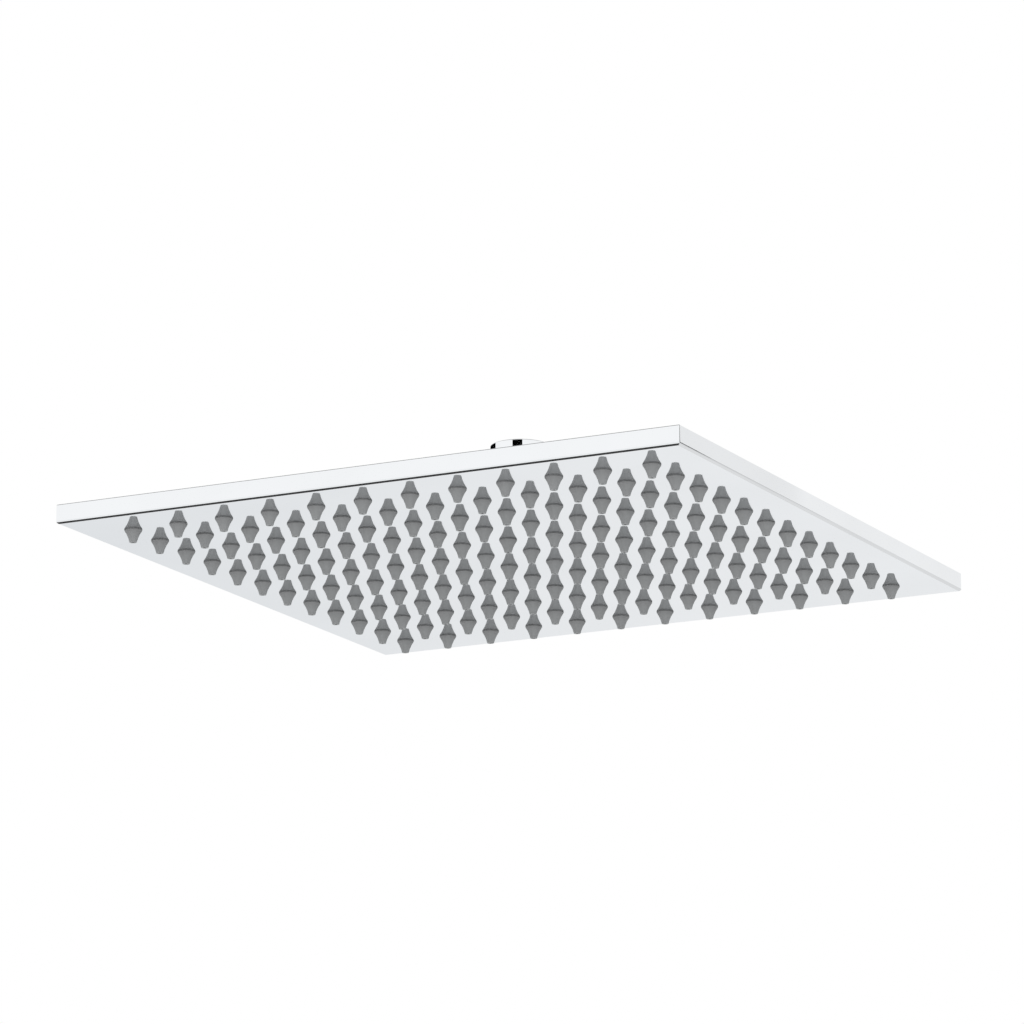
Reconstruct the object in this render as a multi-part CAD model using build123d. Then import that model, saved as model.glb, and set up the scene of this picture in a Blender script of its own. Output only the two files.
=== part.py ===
from build123d import *
import os
from math import cos, radians, sin

# Square rain shower head: a thin spray head that hangs from a swivel ball joint.
# Millimetres, +Z up. The origin is the centre of the inlet's mouth, where the shower arm screws in.

# Spray head
head_width = 300.0
head_height = 8.6
tray_wall = 1.2
tray_floor = 1.2
edge_radius = 1.4
corner_radius = 0.5
rim_chamfer = 0.35

# Nozzle field
nozzle_pitch = 22.82
field_margin = 24.0
nozzle_radius = 3.9
nozzle_land = 0.45
nozzle_length = 5.75
nozzle_tip_radius = 1.57
nozzle_hollow = 0.29
nozzle_inlet_radius = 2.4
nozzle_outlet_radius = 0.65
nozzle_fit = 0.08

# Stack inside the head, from the floor of the tray up to the cover
mat_thickness = 1.2
mat_border = 12.0
retainer_thickness = 1.5
slot_width = 5.4
gasket_thickness = 0.8
gasket_width = 5.0
cover_thickness = 1.4
stack_fit = 0.15

# Studs that clamp the retainer
stud_radius = 1.5
stud_foot_radius = 2.2
stud_foot_height = 0.4
stud_end = 0.4
stud_fit = 0.1
stud_nut_flats = 5.5
stud_nut_height = 1.8
stud_first_gap = 1
stud_second_gap = 4

# Ball joint
ball_radius = 10.0
ball_bore_radius = 4.2
neck_radius = 6.5
seat_clearance = 0.15
bearing_thickness = 1.8
bearing_low_angle = 5.0
bearing_high_angle = 36.0
seat_high_angle = 37.0
seal_high_angle = 17.0
seal_low_angle = 53.0
seal_clearance = 0.1
turned_fit = 0.1

# Hub on the cover and its two nuts
hub_floor = 4.1
hub_wall = 2.9
hub_outlet_radius = 6.5
flange_radius = 22.0
flange_thickness = 2.5
flange_chamfer = 0.6
spigot_radius = 10.5
spigot_end = 0.3
lock_nut_wall = 4.5
lock_nut_height = 2.0
lock_slot_width = 3.0
lock_slot_depth = 1.6
hub_gasket_inset = 2.5
hub_gasket_width = 4.0
hub_gasket_thickness = 0.8
cap_wall = 3.0
cap_gap = 0.5
cap_lip = 1.5
cap_flare = 1.0
cap_rim = 1.9
cap_shoulder = 4.3
cap_edge_radius = 0.5
cap_flat_depth = 1.3
cap_flat_height = 7.0

# Inlet nut with its washer and strainer, and the flow regulator under them
inlet_radius = 13.4
inlet_rim_radius = 0.6
thread_radius = 9.32
thread_depth = 10.0
relief_depth = 0.6
washer_gap = 0.4
washer_radius = 9.2
washer_bore_radius = 6.0
washer_thickness = 2.6
swivel_clearance = 0.1
neck_clearance = 0.3
stem_flange_radius = 9.0
stem_flange_thickness = 2.0
inlet_lip_thickness = 1.8
inlet_lift = 14.0
inlet_flat_depth = 1.1
inlet_flat_height = 7.0
strainer_rim_width = 1.0
strainer_rise = 1.2
strainer_thickness = 0.35
regulator_radius = 5.2
regulator_height = 3.2
regulator_fit = 0.1
regulator_core_radius = 2.4
regulator_floor = 1.2
regulator_wall = 0.8
regulator_ports = 8
regulator_port_radius = 0.55
regulator_ring_width = 1.2
regulator_ring_height = 1.2

# Levels, from the inlet's mouth at zero down to the nozzle tips
washer_top = -thread_depth - washer_gap
washer_bottom = washer_top - washer_thickness
stem_top = washer_bottom - swivel_clearance
stem_flange_bottom = stem_top - stem_flange_thickness
inlet_lip_top = stem_flange_bottom - swivel_clearance
inlet_bottom = inlet_lip_top - inlet_lip_thickness
ball_z = inlet_bottom - inlet_lift
seal_bottom = ball_z - (ball_radius + seal_clearance) * sin(radians(seal_low_angle))
seal_top = ball_z - (ball_radius + seal_clearance) * sin(radians(seal_high_angle))
head_top = seal_bottom - hub_floor
head_bottom = head_top - head_height
flange_top = head_top + flange_thickness
cover_bottom = head_top - cover_thickness
gasket_bottom = cover_bottom - gasket_thickness
tray_inside = head_bottom + tray_floor
mat_top = tray_inside + mat_thickness
retainer_top = mat_top + retainer_thickness
spigot_bottom = cover_bottom - lock_nut_height - spigot_end

# Widths and radii that follow from the sizes above
rows = int((head_width - 2 * field_margin) / nozzle_pitch) + 1
field_width = (rows - 1) * nozzle_pitch
inside_width = head_width - 2 * tray_wall
stack_width = inside_width - 2 * stack_fit
mat_width = field_width + 2 * mat_border
socket_radius = ball_radius + bearing_thickness + 2 * seat_clearance
hub_radius = socket_radius + hub_wall
cap_radius = hub_radius + turned_fit + cap_wall
lock_nut_radius = spigot_radius + turned_fit + lock_nut_wall
hub_gasket_radius = spigot_radius + hub_gasket_inset
nozzle_grid = GridLocations(nozzle_pitch, nozzle_pitch, rows, rows)

# Studs stand in the gaps between nozzle rows, two lines in from each edge, clear of the hub's lock nut
last_gap = rows - 2
stud_gaps = {stud_first_gap, stud_second_gap, last_gap - stud_second_gap, last_gap - stud_first_gap}
stud_lines = [(k - last_gap / 2) * nozzle_pitch for k in sorted(stud_gaps)]
stud_reach = lock_nut_radius + stud_nut_flats
stud_points = [(x, y) for x in stud_lines for y in stud_lines if x * x + y * y > stud_reach ** 2]


def slab(width, bottom, top):
    return Pos(0, 0, bottom) * extrude(Rectangle(width, width), top - bottom)


def pins(points, radius, bottom, top):
    return Pos(0, 0, bottom) * extrude(Sketch() + Locations(*points) * Circle(radius), top - bottom)


def lathe(*curves):
    return revolve(Plane.XZ * make_face(Curve() + list(curves)), Axis.Z)


def turned(*points):
    return lathe(Polyline(*points, close=True))


def ball_arc(radius, low_angle, high_angle):
    return CenterArc((0, ball_z), radius, low_angle, high_angle - low_angle)


def flats(body, across, bottom, top):
    reach = 4 * across
    keep = Pos(0, 0, bottom) * extrude(Rectangle(across, reach), top - bottom)
    band = Pos(0, 0, bottom) * extrude(Rectangle(reach, reach), top - bottom)
    return body - (band - keep)


# Pressed tray: the spray face and the four side walls, with one round hole for each nozzle
def face_tray():
    side = Pos(0, head_bottom + head_height / 2) * Rectangle(head_width, head_height)
    corners = side.vertices().sort_by(Axis.Y)
    side = fillet(corners[:2], edge_radius)
    side = chamfer(side.vertices().group_by(Axis.Y)[-1], rim_chamfer)
    bar = extrude(Plane.XZ * side, head_width / 2, both=True)
    outline = RectangleRounded(head_width, head_width, corner_radius)
    block = bar & (Rot(Z=90) * bar) & (Pos(0, 0, head_bottom) * extrude(outline, head_height))
    holes = extrude(Sketch() + nozzle_grid * Circle(nozzle_radius + nozzle_fit), tray_floor)
    return block - slab(inside_width, tray_inside, head_top) - Pos(0, 0, head_bottom) * holes


# One nozzle, a hollow-flanked cone on a short neck that fills its hole in the tray
def nozzle():
    base_z = head_bottom - nozzle_land
    tip_z = head_bottom - nozzle_length
    neck = Polyline((0, mat_top), (nozzle_radius, mat_top), (nozzle_radius, base_z))
    flank = SagittaArc((nozzle_radius, base_z), (nozzle_tip_radius, tip_z), -nozzle_hollow)
    tip = Polyline((nozzle_tip_radius, tip_z), (0, tip_z), (0, mat_top))
    return lathe(neck, flank, tip)


# Silicone mat: one moulding with every nozzle on it
def nozzle_mat():
    depth = mat_top - head_bottom + nozzle_length
    bore = Cone(nozzle_outlet_radius, nozzle_inlet_radius, depth, align=(Align.CENTER, Align.CENTER, Align.MIN))
    bore = Pos(0, 0, head_bottom - nozzle_length) * bore
    sheet = slab(mat_width, tray_inside, mat_top)
    sheet -= pins(stud_points, stud_foot_radius + stud_fit, tray_inside, mat_top)
    body = sheet + nozzle_grid * nozzle()
    return body - nozzle_grid * bore


# Retainer that presses the mat down: a slot over each row of nozzles and a frame that carries the cover
def retainer_plate():
    frame = slab(stack_width, tray_inside, gasket_bottom)
    frame -= slab(mat_width + 2 * stack_fit, tray_inside, mat_top)
    frame -= slab(mat_width, retainer_top, gasket_bottom)
    row_slots = GridLocations(nozzle_pitch, nozzle_pitch, 1, rows)
    slots = extrude(Sketch() + row_slots * SlotCenterToCenter(field_width, slot_width), retainer_thickness)
    frame -= Pos(0, 0, mat_top) * slots
    return frame - pins(stud_points, stud_radius + stud_fit, mat_top, retainer_top)


def retainer_studs():
    stud_top = retainer_top + stud_nut_height + stud_end
    foot = pins(stud_points, stud_foot_radius, tray_inside, tray_inside + stud_foot_height)
    return foot + pins(stud_points, stud_radius, tray_inside, stud_top)


def retainer_nuts():
    hexagon = RegularPolygon(stud_nut_flats / 2, 6, major_radius=False) - Circle(stud_radius + stud_fit)
    return Pos(0, 0, retainer_top) * extrude(Sketch() + Locations(*stud_points) * hexagon, stud_nut_height)


def cover_gasket():
    outer = slab(stack_width, gasket_bottom, cover_bottom)
    return outer - slab(stack_width - 2 * gasket_width, gasket_bottom, cover_bottom)


def top_cover():
    plate = slab(stack_width, cover_bottom, head_top)
    return plate - pins([(0, 0)], spigot_radius + turned_fit, cover_bottom, head_top)


# Socket of the ball joint: a flange on the cover, a threaded wall above it and a spigot through the cover
def swivel_hub():
    groove_out = hub_gasket_radius + hub_gasket_width
    groove_top = head_top + hub_gasket_thickness
    return turned(
        (hub_outlet_radius, spigot_bottom),
        (spigot_radius, spigot_bottom),
        (spigot_radius, head_top),
        (hub_gasket_radius, head_top),
        (hub_gasket_radius, groove_top),
        (groove_out, groove_top),
        (groove_out, head_top),
        (flange_radius, head_top),
        (flange_radius, flange_top - flange_chamfer),
        (flange_radius - flange_chamfer, flange_top),
        (hub_radius, flange_top),
        (hub_radius, ball_z),
        (socket_radius, ball_z),
        (socket_radius, seal_bottom),
        (hub_outlet_radius, seal_bottom),
    )


def hub_gasket():
    groove_out = hub_gasket_radius + hub_gasket_width
    groove_top = head_top + hub_gasket_thickness
    return turned(
        (hub_gasket_radius, head_top),
        (groove_out, head_top),
        (groove_out, groove_top),
        (hub_gasket_radius, groove_top),
    )


# Ring nut under the cover, with four slots for a pin spanner
def hub_lock_nut():
    ring = Circle(lock_nut_radius) - Circle(spigot_radius + turned_fit)
    slot = Rectangle(2 * lock_slot_depth, lock_slot_width)
    ring -= PolarLocations(lock_nut_radius, 4) * slot
    return Pos(0, 0, cover_bottom - lock_nut_height) * extrude(ring, lock_nut_height)


# Seal under the ball: a spherical seat inside, flat on the floor of the hub
def ball_seal():
    seat = ball_arc(ball_radius + seal_clearance, -seal_low_angle, -seal_high_angle)
    outer_radius = socket_radius - turned_fit
    walls = Polyline(seat @ 1, (outer_radius, seal_top), (outer_radius, seal_bottom), seat @ 0)
    return lathe(seat, walls)


# Plastic bearing ring over the shoulder of the ball, spherical inside and out
def bearing_ring():
    inner = ball_arc(ball_radius + seat_clearance, bearing_low_angle, bearing_high_angle)
    outer = ball_arc(socket_radius - seat_clearance, bearing_low_angle, bearing_high_angle)
    return lathe(inner, outer, Line(inner @ 0, outer @ 0), Line(inner @ 1, outer @ 1))


# Cap nut that holds the ball down: it bottoms on the hub and has a spherical seat and an open neck
def retaining_nut():
    seat = ball_arc(socket_radius, 0, seat_high_angle)
    mouth_radius = socket_radius * cos(radians(seat_high_angle))
    cap_top = ball_z + socket_radius * sin(radians(seat_high_angle)) + cap_lip
    cap_bottom = flange_top + cap_gap
    walls = Polyline(
        seat @ 1,
        (mouth_radius + cap_flare, cap_top),
        (mouth_radius + cap_flare + cap_rim, cap_top),
        (cap_radius, cap_top - cap_shoulder),
        (cap_radius, cap_bottom),
        (hub_radius + turned_fit, cap_bottom),
        (hub_radius + turned_fit, ball_z),
        seat @ 0,
    )
    body = lathe(seat, walls)
    rings = body.edges().filter_by(GeomType.CIRCLE)
    body = fillet(rings.group_by(SortBy.RADIUS)[-1] + rings.group_by(Axis.Z)[-1], cap_edge_radius)
    flats_bottom = cap_bottom + cap_edge_radius
    return flats(body, 2 * (cap_radius - cap_flat_depth), flats_bottom, flats_bottom + cap_flat_height)


# Hollow stem with the ball at its foot and a flange that hangs in the inlet nut
def ball_stem():
    shank = turned(
        (0, ball_z),
        (neck_radius, ball_z),
        (neck_radius, stem_flange_bottom),
        (stem_flange_radius, stem_flange_bottom),
        (stem_flange_radius, stem_top),
        (0, stem_top),
    )
    body = shank + Pos(0, 0, ball_z) * Sphere(ball_radius)
    body -= pins([(0, 0)], ball_bore_radius, ball_z - ball_radius, stem_top)
    pocket_bottom = stem_top - regulator_height
    return body - pins([(0, 0)], regulator_radius + regulator_fit, pocket_bottom, stem_top)


# Regulator disc: a core and a rim, with a ring of ports in the floor between them
def flow_regulator():
    bottom = stem_top - regulator_height
    channel_radius = regulator_radius - regulator_wall
    channel = Circle(channel_radius) - Circle(regulator_core_radius)
    body = pins([(0, 0)], regulator_radius, bottom, stem_top)
    body -= Pos(0, 0, bottom + regulator_floor) * extrude(channel, regulator_height - regulator_floor)
    port_circle = PolarLocations((channel_radius + regulator_core_radius) / 2, regulator_ports)
    ports = extrude(Sketch() + port_circle * Circle(regulator_port_radius), regulator_floor)
    return body - Pos(0, 0, bottom) * ports


# Elastic ring that lies on the ports and closes them as the pressure rises
def regulator_ring():
    bottom = stem_top - regulator_height + regulator_floor
    middle = (regulator_radius - regulator_wall + regulator_core_radius) / 2
    ring = Circle(middle + regulator_ring_width / 2) - Circle(middle - regulator_ring_width / 2)
    return Pos(0, 0, bottom) * extrude(ring, regulator_ring_height)


# Inlet nut: the female thread's bore at the top, a wider relief under it and a lip that carries the stem
def inlet_nut():
    relief_radius = thread_radius + relief_depth
    lip_radius = neck_radius + neck_clearance
    body = turned(
        (thread_radius, 0),
        (inlet_radius, 0),
        (inlet_radius, inlet_bottom),
        (lip_radius, inlet_bottom),
        (lip_radius, inlet_lip_top),
        (relief_radius, inlet_lip_top),
        (relief_radius, -thread_depth),
        (thread_radius, -thread_depth),
    )
    outer_rims = body.edges().filter_by(GeomType.CIRCLE).group_by(SortBy.RADIUS)[-1]
    body = fillet(outer_rims, inlet_rim_radius)
    flats_bottom = inlet_bottom + inlet_rim_radius
    return flats(body, 2 * (inlet_radius - inlet_flat_depth), flats_bottom, flats_bottom + inlet_flat_height)


def inlet_washer():
    return turned(
        (washer_bore_radius, washer_bottom),
        (washer_radius, washer_bottom),
        (washer_radius, washer_top),
        (washer_bore_radius, washer_top),
    )


# Strainer: a shallow woven dome on a flat rim, in the washer's bore
def inlet_strainer():
    rim_radius = washer_bore_radius - turned_fit
    dome_radius = rim_radius - strainer_rim_width
    rim_top = washer_bottom + strainer_thickness
    crown = washer_bottom + strainer_rise
    inside = ThreePointArc((-dome_radius, washer_bottom), (0, crown), (dome_radius, washer_bottom))
    outside = ThreePointArc((-dome_radius, rim_top), (0, crown + strainer_thickness), (dome_radius, rim_top))
    rim = Polyline(
        inside @ 1,
        (rim_radius, washer_bottom),
        (rim_radius, rim_top),
        outside @ 1,
    )
    return lathe(inside.trim(0.5, 1), rim, outside.trim(0.5, 1), Line(inside @ 0.5, outside @ 0.5))


makers = [
    inlet_nut, inlet_washer, inlet_strainer,
    ball_stem, flow_regulator, regulator_ring,
    bearing_ring,
    retaining_nut, ball_seal, swivel_hub, hub_gasket, hub_lock_nut,
    top_cover, cover_gasket, retainer_plate, retainer_studs, retainer_nuts, nozzle_mat, face_tray,
]

os.makedirs("parts", exist_ok=True)
for maker in makers:
    export_step(maker(), f"parts/{maker.__name__}.step")
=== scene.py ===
import bpy
from math import ceil, cos, hypot, pi, radians, sin, tan
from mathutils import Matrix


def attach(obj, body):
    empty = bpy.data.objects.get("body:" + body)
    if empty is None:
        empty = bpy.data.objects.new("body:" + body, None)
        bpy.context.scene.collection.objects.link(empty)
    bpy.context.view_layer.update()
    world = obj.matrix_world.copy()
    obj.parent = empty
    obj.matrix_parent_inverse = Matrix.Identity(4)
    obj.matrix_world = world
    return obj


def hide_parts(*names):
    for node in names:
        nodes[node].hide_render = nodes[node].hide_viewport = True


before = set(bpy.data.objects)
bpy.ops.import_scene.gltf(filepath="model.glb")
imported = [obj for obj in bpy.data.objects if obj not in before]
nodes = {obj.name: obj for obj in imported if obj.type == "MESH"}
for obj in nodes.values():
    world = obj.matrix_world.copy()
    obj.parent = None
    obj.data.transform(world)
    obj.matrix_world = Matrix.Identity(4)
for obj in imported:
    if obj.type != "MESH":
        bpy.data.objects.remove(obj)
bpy.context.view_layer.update()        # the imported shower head, in metres, inlet mouth at the origin
bpy.context.scene.view_settings.view_transform = "Standard"
bpy.context.scene.cycles.caustics_reflective = False    # less grain round the nozzles
print("frame loaded:", len(nodes), "nodes")

mm = 0.001


def linear(hexCode):
    # sRGB hex to the linear colour that shaders take
    parts = [int(hexCode[i:i + 2], 16) / 255 for i in (1, 3, 5)]
    return tuple(c / 12.92 if c <= 0.04045 else ((c + 0.055) / 1.055) ** 2.4 for c in parts) + (1.0,)


def addNode(tree, kind, settings={}, links={}):
    node = tree.nodes.new(kind)
    for name, value in settings.items():
        if isinstance(name, int) or name in node.inputs:
            node.inputs[name].default_value = value
        else:
            setattr(node, name, value)
    for name, source in links.items():
        tree.links.new(source, node.inputs[name])
    return node


def startMaterial(name):
    material = bpy.data.materials.new(name)
    material.use_nodes = True
    tree = material.node_tree
    tree.nodes.clear()
    shader = addNode(tree, "ShaderNodeBsdfPrincipled")
    addNode(tree, "ShaderNodeOutputMaterial", links={"Surface": shader.outputs["BSDF"]})
    place = addNode(tree, "ShaderNodeTexCoord").outputs["Object"]
    return material, tree, shader, place


# polished chrome on metal: a clear cold mirror, with a faint haze where it was wiped
chromeLook = {"plate": "#F4F6F8", "dulled": "#F0F2F4", "glancing": "#F6F6F6", "hazeSize": 55 * mm,
              "sharp": 0.025, "hazy": 0.06}
# the turned fittings were buffed on the lathe: the same plate, sharper, with haze in small patches
buffedLook = {"plate": "#F4F6F8", "dulled": "#F0F2F4", "glancing": "#FFFFFF", "hazeSize": 9 * mm,
              "sharp": 0.008, "hazy": 0.018}
# the back of the head is plated but only lightly polished: a soft satin sheen
satinLook = {"plate": "#F2F4F6", "dulled": "#EEF0F2", "glancing": "#F6F6F6", "hazeSize": 40 * mm,
             "sharp": 0.1, "hazy": 0.15}
wipedFrom, wipedTo = 0.35, 0.75    # the haze that begins to dull the plate, and that dulls it fully


def chromePlate(name, look):
    material, tree, shader, place = startMaterial(name)
    haze = addNode(tree, "ShaderNodeTexNoise", {"Scale": 1 / look["hazeSize"], "Detail": 4.0},
                   {"Vector": place})
    wiped = addNode(tree, "ShaderNodeMapRange", {"From Min": wipedFrom, "From Max": wipedTo},
                    {"Value": haze.outputs["Fac"]})
    tint = addNode(tree, "ShaderNodeMix",
                   {"data_type": "RGBA", 6: linear(look["plate"]), 7: linear(look["dulled"])},
                   {0: wiped.outputs["Result"]})
    rough = addNode(tree, "ShaderNodeMapRange", {"To Min": look["sharp"], "To Max": look["hazy"]},
                    {"Value": wiped.outputs["Result"]})
    shader.inputs["Metallic"].default_value = 1.0
    shader.inputs["Specular Tint"].default_value = linear(look["glancing"])
    tree.links.new(tint.outputs[2], shader.inputs["Base Color"])
    tree.links.new(rough.outputs["Result"], shader.inputs["Roughness"])
    return material


def polishedChrome():
    return chromePlate("polished_chrome", chromeLook)


def buffedChrome():
    return chromePlate("buffed_chrome", buffedLook)


def satinChrome():
    return chromePlate("satin_chrome", satinLook)


# moulded silicone: dull grey with very fine mould grain and a soft bloom of dust; painted shade darkens the
# roots
siliconeLook = {"body": "#868889", "bloom": "#969899", "bloomSize": 3 * mm, "rough": 0.55, "gloss": 0.35,
                "root": "#78797A", "rootAt": -51.77 * mm, "tipAt": -57.3 * mm, "rootCurve": 1.5,
                "grain": 0.35 * mm, "grainDepth": 0.05 * mm, "grainStrength": 0.3}


def greySilicone():
    material, tree, shader, place = startMaterial("grey_silicone")
    bloom = addNode(tree, "ShaderNodeTexNoise", {"Scale": 1 / siliconeLook["bloomSize"], "Detail": 3.0},
                    {"Vector": place})
    tint = addNode(tree, "ShaderNodeMix",
                   {"data_type": "RGBA", 6: linear(siliconeLook["body"]), 7: linear(siliconeLook["bloom"])},
                   {0: bloom.outputs["Fac"]})
    # painted shade: the grey darkens towards the roots, where the nozzles meet the plate
    height = addNode(tree, "ShaderNodeSeparateXYZ", links={"Vector": place})
    nearRoot = addNode(tree, "ShaderNodeMapRange",
                    {"From Min": siliconeLook["tipAt"], "From Max": siliconeLook["rootAt"]},
                    {"Value": height.outputs["Z"]})
    rootShade = addNode(tree, "ShaderNodeMath", {"operation": "POWER", 1: siliconeLook["rootCurve"]},
                    {0: nearRoot.outputs["Result"]})
    shaded = addNode(tree, "ShaderNodeMix", {"data_type": "RGBA", 7: linear(siliconeLook["root"])},
                     {0: rootShade.outputs["Value"], 6: tint.outputs[2]})
    grain = addNode(tree, "ShaderNodeTexNoise", {"Scale": 1 / siliconeLook["grain"], "Detail": 2.0},
                    {"Vector": place})
    bump = addNode(tree, "ShaderNodeBump",
                   {"Strength": siliconeLook["grainStrength"], "Distance": siliconeLook["grainDepth"]},
                   {"Height": grain.outputs["Fac"]})
    shader.inputs["Roughness"].default_value = siliconeLook["rough"]
    shader.inputs["Specular IOR Level"].default_value = siliconeLook["gloss"]
    tree.links.new(shaded.outputs[2], shader.inputs["Base Color"])
    tree.links.new(bump.outputs["Normal"], shader.inputs["Normal"])
    return material


# nitrile rubber: near black, slightly bloomed
rubberLook = {"body": "#1D1E1F", "bloom": "#2B2C2D", "bloomSize": 2.5 * mm, "rough": 0.7}


def blackRubber():
    material, tree, shader, place = startMaterial("black_rubber")
    bloom = addNode(tree, "ShaderNodeTexNoise", {"Scale": 1 / rubberLook["bloomSize"], "Detail": 4.0},
                    {"Vector": place})
    tint = addNode(tree, "ShaderNodeMix",
                   {"data_type": "RGBA", 6: linear(rubberLook["body"]), 7: linear(rubberLook["bloom"])},
                   {0: bloom.outputs["Fac"]})
    shader.inputs["Roughness"].default_value = rubberLook["rough"]
    tree.links.new(tint.outputs[2], shader.inputs["Base Color"])
    return material


# acetal, turned or moulded: waxy white with faint flow marks
acetalLook = {"body": "#E4E3DC", "flow": "#D8D7CF", "flowSize": 4 * mm, "rough": 0.4}


def whiteAcetal():
    material, tree, shader, place = startMaterial("white_acetal")
    flow = addNode(tree, "ShaderNodeTexNoise", {"Scale": 1 / acetalLook["flowSize"], "Distortion": 1.2},
                   {"Vector": place})
    tint = addNode(tree, "ShaderNodeMix",
                   {"data_type": "RGBA", 6: linear(acetalLook["body"]), 7: linear(acetalLook["flow"])},
                   {0: flow.outputs["Fac"]})
    shader.inputs["Roughness"].default_value = acetalLook["rough"]
    tree.links.new(tint.outputs[2], shader.inputs["Base Color"])
    return material


# ABS, moulded: mid grey with a light spark texture and wide flow marks
absLook = {"body": "#4A4C4E", "flow": "#525456", "flowSize": 18 * mm, "rough": 0.5,
           "spark": 0.6 * mm, "sparkDepth": 0.05 * mm, "sparkStrength": 0.2}


def greyAbs():
    material, tree, shader, place = startMaterial("grey_abs")
    spark = addNode(tree, "ShaderNodeTexNoise", {"Scale": 1 / absLook["spark"], "Detail": 3.0},
                    {"Vector": place})
    bump = addNode(tree, "ShaderNodeBump",
                   {"Strength": absLook["sparkStrength"], "Distance": absLook["sparkDepth"]},
                   {"Height": spark.outputs["Fac"]})
    flow = addNode(tree, "ShaderNodeTexNoise", {"Scale": 1 / absLook["flowSize"], "Distortion": 1.5},
                   {"Vector": place})
    tint = addNode(tree, "ShaderNodeMix",
                   {"data_type": "RGBA", 6: linear(absLook["body"]), 7: linear(absLook["flow"])},
                   {0: flow.outputs["Fac"]})
    tree.links.new(tint.outputs[2], shader.inputs["Base Color"])
    shader.inputs["Roughness"].default_value = absLook["rough"]
    tree.links.new(bump.outputs["Normal"], shader.inputs["Normal"])
    return material


# stainless steel, drawn: grey metal with fine lengthwise lines
stainlessLook = {"body": "#C4C4C1", "dull": "#B2B2AE", "lines": 0.2 * mm, "drawnOut": 0.06,
                 "low": 0.22, "high": 0.38}


def drawnStainless():
    material, tree, shader, place = startMaterial("drawn_stainless")
    along = addNode(tree, "ShaderNodeMapping", {"Scale": (1.0, 1.0, stainlessLook["drawnOut"])},
                    {"Vector": place})
    lines = addNode(tree, "ShaderNodeTexNoise", {"Scale": 1 / stainlessLook["lines"], "Detail": 2.0},
                    {"Vector": along.outputs["Vector"]})
    tint = addNode(tree, "ShaderNodeMix",
                   {"data_type": "RGBA", 6: linear(stainlessLook["body"]), 7: linear(stainlessLook["dull"])},
                   {0: lines.outputs["Fac"]})
    rough = addNode(tree, "ShaderNodeMapRange",
                    {"To Min": stainlessLook["low"], "To Max": stainlessLook["high"]},
                    {"Value": lines.outputs["Fac"]})
    shader.inputs["Metallic"].default_value = 1.0
    tree.links.new(tint.outputs[2], shader.inputs["Base Color"])
    tree.links.new(rough.outputs["Result"], shader.inputs["Roughness"])
    return material


# brass, turned and left bare: warm yellow with dulled patches
brassLook = {"bright": "#C9A45C", "dull": "#A98746", "patch": 5 * mm, "rough": 0.3}


def turnedBrass():
    material, tree, shader, place = startMaterial("turned_brass")
    patch = addNode(tree, "ShaderNodeTexNoise", {"Scale": 1 / brassLook["patch"], "Detail": 4.0},
                    {"Vector": place})
    tint = addNode(tree, "ShaderNodeMix",
                   {"data_type": "RGBA", 6: linear(brassLook["bright"]), 7: linear(brassLook["dull"])},
                   {0: patch.outputs["Fac"]})
    shader.inputs["Metallic"].default_value = 1.0
    shader.inputs["Roughness"].default_value = brassLook["rough"]
    tree.links.new(tint.outputs[2], shader.inputs["Base Color"])
    return material


# nickel plate on a cut brass thread: warm grey metal, duller than the chrome outside
nickelLook = {"plate": "#CFC8BA", "worn": "#C2AD80", "patch": 1.5 * mm, "wornFrom": 0.5, "wornTo": 0.8,
              "rough": 0.24}


def platedThread():
    material, tree, shader, place = startMaterial("nickel_plated_brass")
    patch = addNode(tree, "ShaderNodeTexNoise", {"Scale": 1 / nickelLook["patch"], "Detail": 4.0},
                    {"Vector": place})
    worn = addNode(tree, "ShaderNodeMapRange",
                   {"From Min": nickelLook["wornFrom"], "From Max": nickelLook["wornTo"]},
                   {"Value": patch.outputs["Fac"]})
    tint = addNode(tree, "ShaderNodeMix",
                   {"data_type": "RGBA", 6: linear(nickelLook["plate"]), 7: linear(nickelLook["worn"])},
                   {0: worn.outputs["Result"]})
    shader.inputs["Metallic"].default_value = 1.0
    shader.inputs["Roughness"].default_value = nickelLook["rough"]
    tree.links.new(tint.outputs[2], shader.inputs["Base Color"])
    return material


# finishes of the CAD nodes; the pieces that stand for the inlet nut and the strainer take theirs from here
finishes = {
    polishedChrome: ["face_tray"],
    satinChrome: ["top_cover"],
    buffedChrome: ["swivel_hub", "retaining_nut", "ball_stem", "inlet_nut"],
    greySilicone: ["nozzle_mat"],
    blackRubber: ["inlet_washer", "regulator_ring", "ball_seal", "hub_gasket", "cover_gasket"],
    whiteAcetal: ["bearing_ring", "flow_regulator"],
    greyAbs: ["retainer_plate"],
    drawnStainless: ["inlet_strainer", "retainer_studs", "retainer_nuts"],
    turnedBrass: ["hub_lock_nut"],
}

for makeFinish, names in finishes.items():
    finish = makeFinish()
    for name in names:
        nodes[name].data.materials.clear()
        nodes[name].data.materials.append(finish)
print("finishes set:", len(finishes))


seamGap = 0.002 * mm    # points nearer than this are one
near = 0.01             # mm, how close a point lies to the place that it is picked by
shortest = 0.1          # mm, what an edge runs along an axis to count as lying along it


def drawLine(name, points):
    # a line in the XZ plane, drawn by extruding one corner from point to point, in mm
    bpy.ops.object.select_all(action="DESELECT")
    bpy.ops.mesh.primitive_plane_add(size=mm)
    piece = bpy.context.object
    piece.name = name
    bpy.ops.object.mode_set(mode="EDIT")
    bpy.ops.mesh.select_mode(type="VERT")
    bpy.ops.mesh.merge(type="CENTER")
    bpy.ops.transform.translate(value=(points[0][0] * mm, 0, points[0][1] * mm))
    for (x0, z0), (x1, z1) in zip(points, points[1:]):
        step = ((x1 - x0) * mm, 0, (z1 - z0) * mm)
        bpy.ops.mesh.extrude_region_move(TRANSFORM_OT_translate={"value": step})
    bpy.ops.mesh.select_all(action="SELECT")
    return piece


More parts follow.
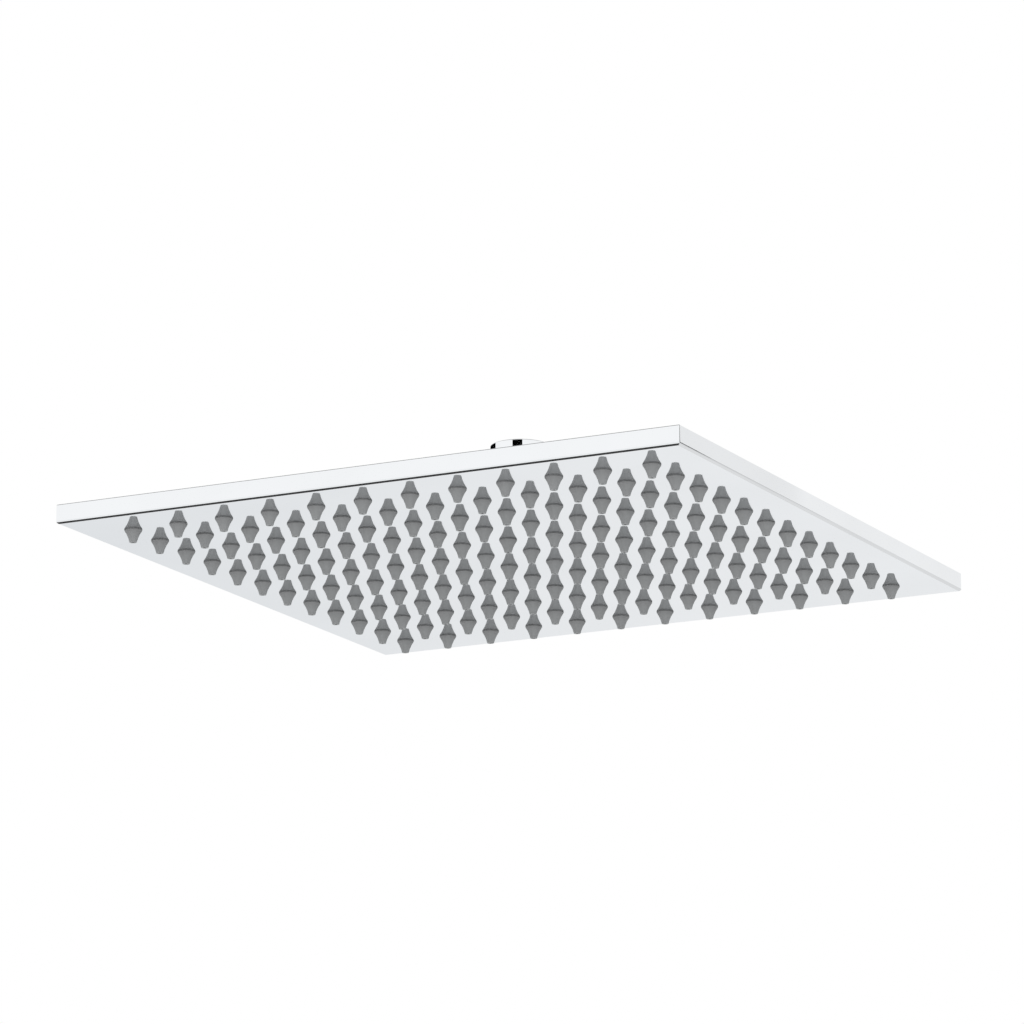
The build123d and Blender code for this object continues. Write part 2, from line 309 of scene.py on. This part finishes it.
def pick(piece, kind, test, along=None):
    # select the points, edges or faces whose corners all pass the test in mm, or only edges along one axis
    bpy.ops.object.mode_set(mode="EDIT")
    bpy.ops.mesh.select_mode(type=kind)
    bpy.ops.mesh.select_all(action="DESELECT")
    bpy.ops.object.mode_set(mode="OBJECT")
    mesh = piece.data
    spots = [v.co / mm for v in mesh.vertices]
    fits = [test(*spot) for spot in spots]
    if kind == "VERT":
        mesh.vertices.foreach_set("select", fits)
    else:
        group = mesh.edges if kind == "EDGE" else mesh.polygons
        group.foreach_set("select", [all(fits[i] for i in item.vertices) for item in group])
    if along is not None:
        ends = [[spots[i][along] for i in edge.vertices] for edge in mesh.edges]
        mesh.edges.foreach_set("select", [abs(a - b) > shortest for a, b in ends])
    bpy.ops.object.mode_set(mode="EDIT")


def closeSeams():
    bpy.ops.mesh.select_all(action="SELECT")
    bpy.ops.mesh.remove_doubles(threshold=seamGap)
    bpy.ops.mesh.normals_make_consistent(inside=False)


# inlet nut, in mm below the mouth: a turned body with rounded rims, spanner flats and a G1/2 thread
inletNut = {"radius": 13.4, "length": 17.0, "sides": 144, "rim": 0.35, "rimSteps": 5, "smooth": 20,
            "leadIn": 11.0, "leadDepth": 0.7, "root": 10.48, "crest": 9.32, "threadTo": 10.0, "runOut": 0.4,
            "relief": 9.92, "reliefTo": 15.2, "lip": 6.8, "lipRound": 0.3, "lipSteps": 3,
            "flats": 24.6, "flatFrom": 9.4, "flatTo": 16.4, "millDeep": 10.0, "millWide": 40.0,
            "pitch": 1.814, "turns": 4.4, "turnSteps": 64, "firstTurn": 9.0, "ridgeFoot": 0.8,
            "ridgeTop": 0.12, "ridgeSunk": 0.08, "cornerIn": 0.18, "cornerDown": 0.13,
            "fadeOver": 12.0, "fadePast": 1.02, "platedWithin": 10.8, "platedTo": 15.3}


def turnNut():
    n = inletNut
    outline = [(n["radius"], 0), (n["radius"], -n["length"]), (n["lip"], -n["length"]),
               (n["lip"], -n["reliefTo"]), (n["relief"], -n["reliefTo"]),
               (n["relief"], -n["threadTo"] - n["runOut"]), (n["root"], -n["threadTo"]),
               (n["root"], -n["leadDepth"]), (n["leadIn"], 0), (n["radius"], 0)]
    nut = drawLine("inlet_nut_turned", outline)
    bpy.ops.mesh.spin(steps=n["sides"], angle=2 * pi, center=(0, 0, 0), axis=(0, 0, 1))
    closeSeams()
    for z in (0, -n["length"]):
        pick(nut, "EDGE", lambda x, y, h: abs(hypot(x, y) - n["radius"]) < near and abs(h - z) < near)
        bpy.ops.mesh.bevel(offset=n["rim"] * mm, segments=n["rimSteps"], affect="EDGES")
    pick(nut, "EDGE", lambda x, y, h: abs(hypot(x, y) - n["lip"]) < near and h < -n["length"] + near)
    bpy.ops.mesh.bevel(offset=n["lipRound"] * mm, segments=n["lipSteps"], affect="EDGES")
    bpy.ops.object.mode_set(mode="OBJECT")

    # two flats for a spanner, milled across the lower half
    cutterSize = (n["millDeep"] * mm, n["millWide"] * mm, (n["flatTo"] - n["flatFrom"]) * mm)
    cutterHeight = -(n["flatFrom"] + n["flatTo"]) / 2 * mm
    for side in (-1, 1):
        out = side * (n["flats"] + n["millDeep"]) / 2 * mm
        bpy.ops.object.select_all(action="DESELECT")
        bpy.ops.mesh.primitive_cube_add(size=1.0, location=(out, 0, cutterHeight), scale=cutterSize)
        cutter = bpy.context.object
        bpy.context.view_layer.objects.active = nut
        cut = nut.modifiers.new("flat", "BOOLEAN")
        cut.operation = "DIFFERENCE"
        cut.solver = "EXACT"
        cut.object = cutter
        bpy.ops.object.modifier_apply(modifier="flat")
        bpy.data.objects.remove(cutter)
    return nut


def cutThread():
    # the ridge between two turns of a right-handed thread, fading out at both ends
    n = inletNut
    start = -n["firstTurn"]
    half, top, foot, crest = n["ridgeFoot"], n["ridgeTop"], n["root"] + n["ridgeSunk"], n["crest"]
    corner, shoulder = crest + n["cornerIn"], top + n["cornerDown"]
    ridge = drawLine("inlet_thread", [(foot, start - half), (corner, start - shoulder), (crest, start - top),
                                      (crest, start + top), (corner, start + shoulder), (foot, start + half),
                                      (foot, start - half)])
    bpy.ops.mesh.remove_doubles(threshold=seamGap)
    bpy.ops.object.mode_set(mode="OBJECT")
    screw = ridge.modifiers.new("helix", "SCREW")
    screw.angle = 2 * pi * n["turns"]
    screw.screw_offset = n["pitch"] * n["turns"] * mm
    screw.steps = screw.render_steps = int(n["turnSteps"] * n["turns"])
    bpy.ops.object.modifier_apply(modifier="helix")
    bpy.ops.object.mode_set(mode="EDIT")
    bpy.ops.mesh.select_mode(type="EDGE")
    bpy.ops.mesh.select_all(action="DESELECT")
    bpy.ops.mesh.select_non_manifold()
    fade = n["fadePast"] * foot / crest
    bpy.ops.transform.resize(value=(fade, fade, 1.0), center_override=(0, 0, 0), use_proportional_edit=True,
                             use_proportional_connected=True, proportional_edit_falloff="SMOOTH",
                             proportional_size=n["fadeOver"] * mm)
    bpy.ops.mesh.select_all(action="SELECT")
    bpy.ops.mesh.fill_holes(sides=0)
    closeSeams()
    bpy.ops.object.mode_set(mode="OBJECT")
    return ridge


nut = turnNut()
thread = cutThread()
nut.data.materials.append(nodes["inlet_nut"].data.materials[0])
nut.data.materials.append(platedThread())
pick(nut, "FACE", lambda x, y, h: hypot(x, y) < inletNut["platedWithin"] and h > -inletNut["platedTo"])
nut.active_material_index = 1
bpy.ops.object.material_slot_assign()
bpy.ops.object.mode_set(mode="OBJECT")
thread.data.materials.append(nut.data.materials[1])
for piece in (nut, thread):
    bpy.ops.object.select_all(action="DESELECT")
    piece.select_set(True)
    bpy.context.view_layer.objects.active = piece
    bpy.ops.object.shade_smooth_by_angle(angle=radians(inletNut["smooth"]))
    even = piece.modifiers.new("even", "WEIGHTED_NORMAL")    # keeps reflections in the long wall straight
    even.keep_sharp = True
    bpy.ops.object.modifier_apply(modifier="even")
    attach(piece, "inlet")
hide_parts("inlet_nut")
print("inlet nut turned:", len(nut.data.polygons), "faces, thread", len(thread.data.polygons))

# strainer, in mm: wires woven over and under, domed, held in a rolled rim
strainer = {"seat": -13.0, "pitch": 0.8, "wires": 7, "wire": 0.21, "weave": 0.1, "lift": 0.02, "reach": 5.35,
            "rise": 1.2, "crown": 0.1, "curveSteps": 3, "rimOuter": 5.9, "rimInner": 4.9, "rimHeight": 0.46,
            "rimSides": 72, "rimRound": 0.15, "rimSteps": 3, "sharp": 60, "smooth": 50}


def weaveWires(name, across):
    # one set of parallel wires: a grid with its cross lines taken out, then bent over and under
    s = strainer
    cells = 2 * s["wires"]
    level = (s["seat"] + s["weave"] + s["wire"] / 2 + s["lift"]) * mm
    bpy.ops.object.select_all(action="DESELECT")
    bpy.ops.mesh.primitive_grid_add(x_subdivisions=cells, y_subdivisions=cells, size=cells * s["pitch"] * mm,
                                    location=(0, 0, level))
    wires = bpy.context.object
    wires.name = name
    bpy.ops.object.transform_apply(location=True, rotation=True, scale=True)
    bpy.ops.object.mode_set(mode="EDIT")
    bpy.ops.mesh.delete(type="ONLY_FACE")
    pick(wires, "EDGE", lambda x, y, z: True, along=across)
    bpy.ops.mesh.delete(type="EDGE")
    pick(wires, "VERT", lambda x, y, z: hypot(x, y) > s["reach"])
    bpy.ops.mesh.delete(type="VERT")
    for over in (0, 1):
        pick(wires, "VERT",
             lambda x, y, z: (round(x / s["pitch"]) + round(y / s["pitch"]) + across) % 2 == over)
        bpy.ops.transform.translate(value=(0, 0, (2 * over - 1) * s["weave"] * mm))
    pick(wires, "VERT", lambda x, y, z: hypot(x, y) < s["crown"])
    bpy.ops.transform.translate(value=(0, 0, s["rise"] * mm), use_proportional_edit=True,
                                proportional_edit_falloff="INVERSE_SQUARE",
                                proportional_size=s["rimInner"] * mm)
    bpy.ops.object.mode_set(mode="OBJECT")
    bpy.ops.object.convert(target="CURVE")
    wires = bpy.context.object
    bpy.ops.object.mode_set(mode="EDIT")
    bpy.ops.curve.select_all(action="SELECT")
    bpy.ops.curve.spline_type_set(type="BEZIER")
    bpy.ops.curve.handle_type_set(type="AUTOMATIC")
    bpy.ops.object.mode_set(mode="OBJECT")
    wires.data.resolution_u = s["curveSteps"]
    wires.data.bevel_depth = s["wire"] / 2 * mm
    wires.data.bevel_resolution = 1
    wires.data.use_fill_caps = True
    bpy.ops.object.convert(target="MESH")
    return bpy.context.object


def rollRim():
    s = strainer
    top = s["seat"] + s["rimHeight"]
    rim = drawLine("strainer_rim", [(s["rimInner"], s["seat"]), (s["rimOuter"], s["seat"]),
                                    (s["rimOuter"], top), (s["rimInner"], top), (s["rimInner"], s["seat"])])
    bpy.ops.mesh.spin(steps=s["rimSides"], angle=2 * pi, center=(0, 0, 0), axis=(0, 0, 1))
    closeSeams()
    bpy.ops.mesh.select_mode(type="EDGE")
    bpy.ops.mesh.select_all(action="DESELECT")
    bpy.ops.mesh.edges_select_sharp(sharpness=radians(s["sharp"]))
    bpy.ops.mesh.bevel(offset=s["rimRound"] * mm, segments=s["rimSteps"], affect="EDGES")
    bpy.ops.object.mode_set(mode="OBJECT")
    return rim


rim = rollRim()
weft, warp = weaveWires("strainer_weft", 0), weaveWires("strainer_warp", 1)
bpy.ops.object.select_all(action="DESELECT")
for piece in (rim, weft, warp):
    piece.select_set(True)
bpy.context.view_layer.objects.active = rim
bpy.ops.object.join()
mesh = bpy.context.object
mesh.name = "inlet_strainer_woven"
mesh.data.materials.append(nodes["inlet_strainer"].data.materials[0])
bpy.ops.object.shade_smooth_by_angle(angle=radians(strainer["smooth"]))
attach(mesh, "inlet")
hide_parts("inlet_strainer")
print("strainer woven:", len(mesh.data.polygons), "faces")

# studio: white surround, pale floor, and glowing cards that only mirrors see, painted reflections in the
# chrome
studio = {
    "floorDrop": 2.6, "floorSize": 120.0, "floorRough": 0.9,
    # the floor's painted light: dull on the shaded side, pale on the lit side
    "floorShadedSide": "#ECEEF0", "floorLitSide": "#F7F8F9", "paleFrom": -1.6, "paleTo": 0.6,
    "acrossFloor": (0.89, 0.456, 0.0),
    "lightFrom": (0.3, -0.954, 0.0), "lightReach": 2.5, "lightBack": 0.8, "lightFront": 1.6,
    "ceiling": 0.3, "ceilingFrom": sin(radians(17)), "ceilingTo": sin(radians(70)),
}


def plainGlow(name, level):
    material = bpy.data.materials.new(name)
    material.use_nodes = True
    tree = material.node_tree
    tree.nodes.clear()
    glow = addNode(tree, "ShaderNodeEmission", {"Color": (level, level, level, 1.0), "Strength": 1.0})
    addNode(tree, "ShaderNodeOutputMaterial", links={"Surface": glow.outputs["Emission"]})
    return material


# white all round, and mirrors also see a dark ceiling high above
def makeWorld():
    world = bpy.data.worlds.new("studio_surround")
    bpy.context.scene.world = world
    world.use_nodes = True
    tree = world.node_tree
    tree.nodes.clear()
    rays = addNode(tree, "ShaderNodeLightPath")
    aim = addNode(tree, "ShaderNodeTexCoord")
    height = addNode(tree, "ShaderNodeSeparateXYZ", links={"Vector": aim.outputs["Generated"]})
    level = addNode(tree, "ShaderNodeMapRange",
                    {"interpolation_type": "SMOOTHSTEP",
                     "From Min": studio["ceilingFrom"], "From Max": studio["ceilingTo"],
                     "To Min": 1.0, "To Max": studio["ceiling"]},
                    {"Value": height.outputs["Z"]})
    strength = addNode(tree, "ShaderNodeMix", {"data_type": "FLOAT", 2: 1.0},
                       {0: rays.outputs["Is Glossy Ray"], 3: level.outputs["Result"]})
    surround = addNode(tree, "ShaderNodeBackground", {"Color": (1, 1, 1, 1)},
                       {"Strength": strength.outputs[0]})
    addNode(tree, "ShaderNodeOutputWorld", links={"Surface": surround.outputs["Background"]})


# matt pale paint on the floor, with painted light: a little paler to one side, which the chrome mirrors show
def floorPaint():
    paint, tree, shader, place = startMaterial("pale_floor_paint")
    across = addNode(tree, "ShaderNodeVectorMath", {"operation": "DOT_PRODUCT", 1: studio["acrossFloor"]},
                     {0: place})
    fade = addNode(tree, "ShaderNodeMapRange",
                   {"interpolation_type": "SMOOTHSTEP",
                    "From Min": studio["paleFrom"], "From Max": studio["paleTo"]},
                   {"Value": across.outputs["Value"]})
    tint = addNode(tree, "ShaderNodeMix",
                   {"data_type": "RGBA", 6: linear(studio["floorShadedSide"]), 7: linear(studio["floorLitSide"])},
                   {0: fade.outputs["Result"]})
    shader.inputs["Roughness"].default_value = studio["floorRough"]
    shader.inputs["Specular IOR Level"].default_value = 0.0
    tree.links.new(tint.outputs[2], shader.inputs["Base Color"])
    # to matt pieces the floor is a soft light, stronger from the front, so that the nozzles look round,
    # and bright enough to make up for light off the mirror above, which is lost with the caustics
    rays = addNode(tree, "ShaderNodeLightPath")
    ahead = addNode(tree, "ShaderNodeVectorMath", {"operation": "DOT_PRODUCT", 1: studio["lightFrom"]},
                    {0: place})
    lean = addNode(tree, "ShaderNodeMapRange",
                   {"interpolation_type": "SMOOTHSTEP",
                    "From Min": -studio["lightReach"], "From Max": studio["lightReach"],
                    "To Min": studio["lightBack"], "To Max": studio["lightFront"]},
                   {"Value": ahead.outputs["Value"]})
    glow = addNode(tree, "ShaderNodeEmission", links={"Strength": lean.outputs["Result"]})
    blend = addNode(tree, "ShaderNodeMixShader",
                    links={0: rays.outputs["Is Diffuse Ray"], 1: shader.outputs["BSDF"],
                           2: glow.outputs["Emission"]})
    tree.links.new(blend.outputs["Shader"], tree.nodes["Material Output"].inputs["Surface"])
    return paint


def makeFloor():
    bpy.ops.object.select_all(action="DESELECT")
    bpy.ops.mesh.primitive_plane_add(size=studio["floorSize"], location=(0, 0, -studio["floorDrop"]))
    floor = bpy.context.object
    floor.name = "studio_floor"
    floor.data.materials.append(floorPaint())


# upright cards: bearing of each edge from -Y towards +X, lowest and highest rise, and grey level
uprightCards = {
    "front_flag": {"bearings": (-3.3, 34.7), "rises": (14.4, 14.9), "level": 0.001},
    "left_flag": {"bearings": (-153.0, -84.4), "rises": (14.4, 14.9), "level": 0.001},
    "corner_flag": {"bearings": (143.5, 146.65), "rises": (-6.5, 6.5), "level": 0.02},
    "corner_card": {"bearings": (56, 128), "rises": (11.7, 13.0), "level": 0.14},
    "low_corner_card": {"bearings": (146.65, 149.6), "rises": (-24, 4), "level": 0.66},
    "low_side_card": {"bearings": (149.6, 168), "rises": (-24, 4), "level": 0.773},
    "side_card": {"bearings": (138, 152.2), "rises": (7, 20), "level": 0.894},
    "far_side_card": {"bearings": (152.2, 168), "rises": (7, 20), "level": 0.944},
}
cardAway = 2.3       # metres from the head to the upright cards
widestPanel = 8.0    # degrees, a wider card is hung as several panels round the arc

# flat cards under the head, by their edges in units of the drop below it
flatCards = {
    "floor_flag": {"x": (-1.0, -0.34), "y": (-1.02, 0.95), "level": 0.045},
    "front_sheet": {"x": (-2.6, 0.0), "y": (-4.0, -1.03), "level": 0.95},
    "back_sheet": {"x": (-1.3, -0.4), "y": (0.96, 1.5), "level": 1.0},
    "back_flag": {"x": (-0.9, 0.9), "y": (1.55, 2.3), "level": 0.79},
}
cardDrop = 2.5       # metres from the spray face down to the flat cards
faceBelow = 0.05     # metres from the inlet mouth down to the spray face


# a card glows and is seen only in mirrors: a painted reflection, dark or pale, that lights and shades
# nothing
def mirrorOnly(card, level):
    card.data.materials.append(plainGlow(card.name + "_paint", level))
    card.visible_camera = False
    card.visible_diffuse = False
    card.visible_shadow = False


def makeCards():
    for name, card in uprightCards.items():
        first, last = card["bearings"]
        panels = ceil((last - first) / widestPanel)
        half = radians(last - first) / panels / 2
        low, high = (cardAway * tan(radians(rise)) for rise in card["rises"])
        for i in range(panels):
            turn = radians(first) + (2 * i + 1) * half
            spot = (cardAway * sin(turn), -cardAway * cos(turn), (low + high) / 2)
            bpy.ops.object.select_all(action="DESELECT")
            bpy.ops.mesh.primitive_plane_add(size=1.0, rotation=(radians(90), 0, turn), location=spot)
            panel = bpy.context.object
            panel.name = name + str(i + 1)
            panel.scale = (2 * cardAway * tan(half), high - low, 1.0)
            mirrorOnly(panel, card["level"])
    for name, card in flatCards.items():
        (x0, x1), (y0, y1) = card["x"], card["y"]
        spot = ((x0 + x1) / 2 * cardDrop, (y0 + y1) / 2 * cardDrop, -cardDrop - faceBelow)
        bpy.ops.object.select_all(action="DESELECT")
        bpy.ops.mesh.primitive_plane_add(size=1.0, location=spot)
        panel = bpy.context.object
        panel.name = name
        panel.scale = ((x1 - x0) * cardDrop, (y1 - y0) * cardDrop, 1.0)
        mirrorOnly(panel, card["level"])


makeWorld()
makeFloor()
makeCards()
print("studio built")

# the photo's long lens from below: place, bearing and tilt worked out from the nozzle grid
viewpoint = {"lens": 192.0, "sensor": 36.0, "farthest": 200.0,
             "place": (1.07739, -2.10999, -0.6161), "bearing": 27.14, "tilt": 13.887}


def makeCamera():
    bpy.ops.object.camera_add(location=viewpoint["place"])
    camera = bpy.context.object
    camera.name = "photo_camera"
    camera.rotation_euler = (radians(90 + viewpoint["tilt"]), 0, radians(viewpoint["bearing"]))
    camera.data.lens = viewpoint["lens"]
    camera.data.sensor_width = viewpoint["sensor"]
    camera.data.clip_end = viewpoint["farthest"]
    bpy.context.scene.camera = camera


makeCamera()
print("camera set")
